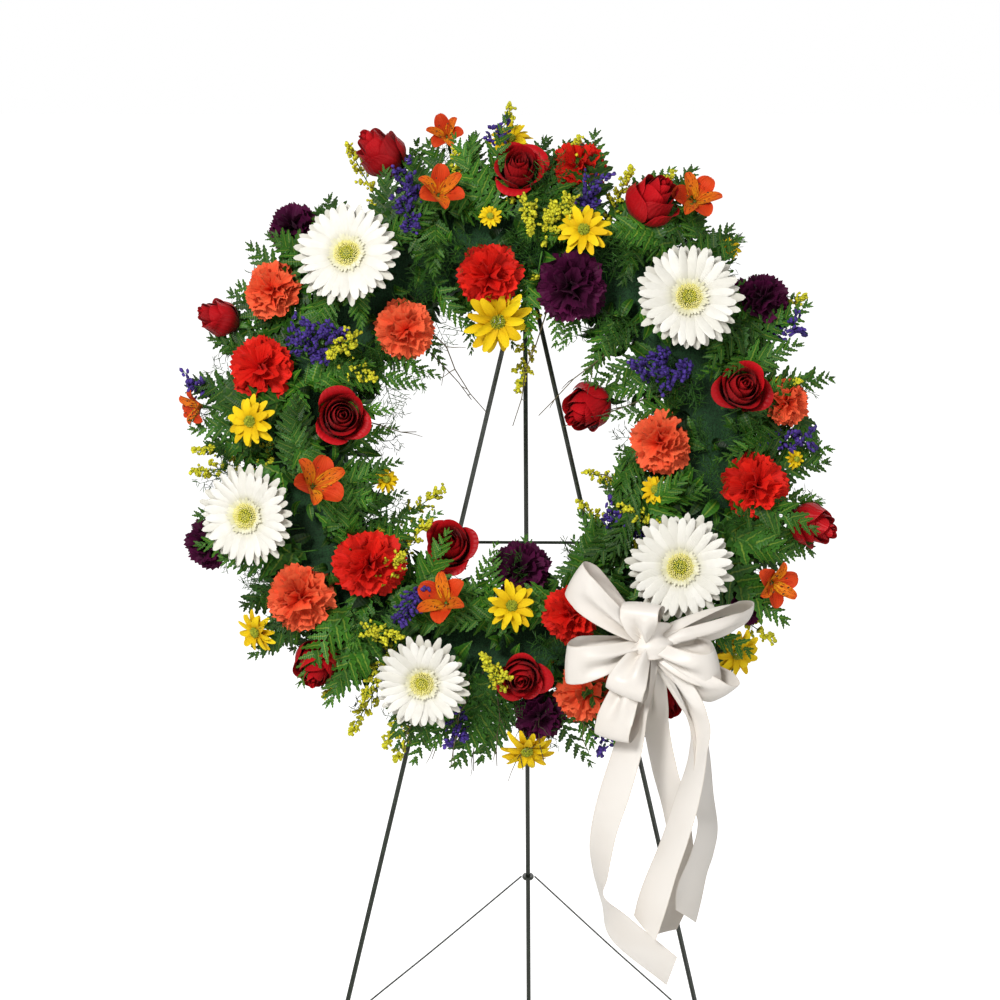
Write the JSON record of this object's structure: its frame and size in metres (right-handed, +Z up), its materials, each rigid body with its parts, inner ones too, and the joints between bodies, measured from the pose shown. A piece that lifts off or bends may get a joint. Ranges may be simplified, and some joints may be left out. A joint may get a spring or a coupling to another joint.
{
  "type": "funeral wreath on wire easel",
  "caption": "Round wreath of mixed fresh flowers and fern with a satin bow, hung on a folding three-legged wire easel.",
  "frame": {"origin": "centre of the part's footprint on the floor that the easel stands on", "axes": "+Z up, -Y the way the wreath faces, +X to the viewer's right"},
  "size_m": [0.6086, 0.5246, 1.1911],
  "materials": {
    "white_petals": "matt white ray petals with a yellow-green disc",
    "red_rose_petals": "velvety deep red petals",
    "red_carnation_petals": "matt bright red fringed petals",
    "coral_carnation_petals": "matt coral fringed petals",
    "burgundy_carnation_petals": "matt burgundy fringed petals",
    "fern_green": "semi-matt leaf green, with the small flowers that share these nodes",
    "satin_ribbon": "ivory satin weave, soft sheen",
    "floral_foam": "matt open-cell green foam",
    "tray_plastic": "moulded green plastic",
    "easel_wire": "dark green enamel on steel wire"
  },
  "bodies": {
    "stand": {"gerbera_upper_left": "white_petals", "gerbera_upper_right": "white_petals", "gerbera_left": "white_petals", "gerbera_right": "white_petals", "gerbera_bottom": "white_petals", "rose_top_left": "red_rose_petals", "rose_top": "red_rose_petals", "rose_top_right": "red_rose_petals", "rose_left_rim": "red_rose_petals", "rose_inner_left": "red_rose_petals", "rose_inner_right": "red_rose_petals", "rose_right": "red_rose_petals", "rose_right_rim": "red_rose_petals", "rose_inner_bottom": "red_rose_petals", "rose_bottom_left": "red_rose_petals", "rose_bottom": "red_rose_petals", "rose_under_bow": "red_rose_petals", "red_carnation_top": "red_carnation_petals", "red_carnation_inner_top": "red_carnation_petals", "red_carnation_left": "red_carnation_petals", "red_carnation_lower_left": "red_carnation_petals", "red_carnation_right": "red_carnation_petals", "red_carnation_by_bow": "red_carnation_petals", "coral_carnation_upper_left": "coral_carnation_petals", "coral_carnation_inner_left": "coral_carnation_petals", "coral_carnation_right": "coral_carnation_petals", "coral_carnation_lower_left": "coral_carnation_petals", "coral_carnation_by_bow": "coral_carnation_petals", "coral_carnation_right_rim": "coral_carnation_petals", "burgundy_carnation_upper_left": "burgundy_carnation_petals", "burgundy_carnation_top": "burgundy_carnation_petals", "burgundy_carnation_right": "burgundy_carnation_petals", "burgundy_carnation_left_rim": "burgundy_carnation_petals", "burgundy_carnation_inner_bottom": "burgundy_carnation_petals", "burgundy_carnation_bottom": "burgundy_carnation_petals", "burgundy_carnation_right_rim": "burgundy_carnation_petals", "bow_loops": "satin_ribbon", "bow_tail_left": "satin_ribbon", "bow_tail_centre": "satin_ribbon", "bow_tail_right": "satin_ribbon", "bow_tail_back": "satin_ribbon", "foliage_1": "fern_green", "foliage_2": "fern_green", "foliage_3": "fern_green", "foliage_4": "fern_green", "foliage_5": "fern_green", "foliage_6": "fern_green", "foliage_7": "fern_green", "foliage_8": "fern_green", "foam_ring": "floral_foam", "ring_tray": "tray_plastic", "front_leg_left": "easel_wire", "front_leg_right": "easel_wire", "top_hook": "easel_wire", "crossbar": "easel_wire"},
    "rear_leg": {"rear_leg": "easel_wire"},
    "brace": {"brace_left": "easel_wire", "brace_right": "easel_wire"},
    "tie_ring": {"tie_ring": "easel_wire"}
  },
  "joints": [
    {"name": "rear_leg_fold", "type": "hinge", "parent": "stand", "child": "rear_leg", "pos_m": [0.0165, -0.04103, 1.04985], "axis": [1, 0, 0], "range_deg": [-23.5, 0]},
    {"name": "brace_fold", "type": "hinge", "parent": "stand", "child": "brace", "pos_m": [0.0165, -0.16514, 0.34368], "axis": [1, 0, 0], "range_deg": [0, 65.69]},
    {"name": "tie_ring_slide", "type": "slide", "parent": "rear_leg", "child": "tie_ring", "axis": [0, -0.2756, 0.9613], "range_m": [0, 0.2686]}
  ],
  "couplings": [
    {"joint": "brace_fold", "follows": "rear_leg_fold", "ratio": -2.7911},
    {"joint": "tie_ring_slide", "follows": "rear_leg_fold", "m_per_rad": -0.65362}
  ]
}
